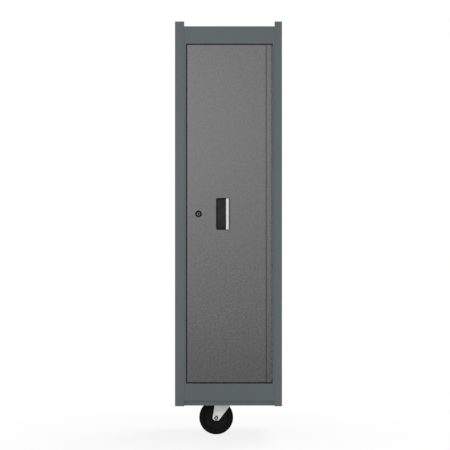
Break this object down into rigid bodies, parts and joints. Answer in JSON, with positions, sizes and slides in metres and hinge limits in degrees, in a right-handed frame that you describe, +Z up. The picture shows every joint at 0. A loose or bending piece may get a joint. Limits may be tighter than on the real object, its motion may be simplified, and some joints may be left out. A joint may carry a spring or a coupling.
{
  "type": "tool chest side locker",
  "caption": "Tall narrow steel locker with a hinged, locking door and shelves, made to bolt to the side of a rolling tool chest and roll on a swivel caster.",
  "frame": {"origin": "on the left side panel's outer face, midway front to back, level with the lock: where the locker is bolted to a tool chest", "axes": "+X to the right across the width, -Y out of the door, +Z up"},
  "size_m": [0.381, 0.4645, 1.497],
  "materials": {
    "frame_paint": "satin greenish grey powder coat",
    "door_paint": "fine textured grey metallic powder coat",
    "zinc": "bright zinc plate",
    "bright_lip": "bright satin metal",
    "black_plastic": "matt black moulding",
    "lock_black": "black plated zinc die casting",
    "tyre": "black rubber"
  },
  "bodies": {
    "cabinet": {"side_left": "frame_paint", "side_right": "frame_paint", "front_frame": "frame_paint", "top_panel": "frame_paint", "floor_panel": "frame_paint", "back_panel": "frame_paint", "base_strip": "frame_paint", "shelf_1": "frame_paint", "shelf_2": "frame_paint", "shelf_3": "frame_paint", "cross_channel": "frame_paint", "hinge_leaf_frame": "frame_paint", "hinge_pin": "zinc", "caster_plate": "zinc", "swivel_race": "zinc", "kingpin": "zinc", "shelf_angle_left_1": "zinc", "shelf_angle_right_1": "zinc", "shelf_angle_left_2": "zinc", "shelf_angle_right_2": "zinc", "shelf_angle_left_3": "zinc", "shelf_angle_right_3": "zinc", "caster_bolt_1": "zinc", "caster_nut_1": "zinc", "caster_bolt_2": "zinc", "caster_nut_2": "zinc", "caster_bolt_3": "zinc", "caster_nut_3": "zinc", "caster_bolt_4": "zinc", "caster_nut_4": "zinc"},
    "door": {"door_panel": "door_paint", "door_stiffener": "door_paint", "hinge_leaf_door": "door_paint", "pull_cup": "black_plastic", "pull_lip": "bright_lip", "lock_housing": "lock_black", "lock_nut": "zinc"},
    "lock": {"lock_plug": "lock_black", "lock_cam": "zinc", "lock_cam_screw": "zinc"},
    "caster_swivel": {"caster_fork": "zinc", "axle_bolt": "zinc", "axle_nut": "zinc", "axle_bush": "zinc"},
    "caster_wheel": {"wheel_core": "black_plastic", "wheel_tyre": "tyre"}
  },
  "joints": [
    {"name": "door_hinge", "type": "hinge", "parent": "cabinet", "child": "door", "pos_m": [0.34501, -0.23, 0], "axis": [0, 0, 1], "range_deg": [0, 170]},
    {"name": "lock_turn", "type": "hinge", "parent": "door", "child": "lock", "pos_m": [0.08375, -0.2285, 0], "axis": [0, 1, 0], "range_deg": [0, 90]},
    {"name": "caster_swivel_turn", "type": "hinge", "parent": "cabinet", "child": "caster_swivel", "pos_m": [0.1905, 0, -0.67], "axis": [0, 0, 1], "continuous": true},
    {"name": "wheel_spin", "type": "hinge", "parent": "caster_swivel", "child": "caster_wheel", "pos_m": [0.1455, 0, -0.7495], "axis": [0, 1, 0], "continuous": true}
  ]
}
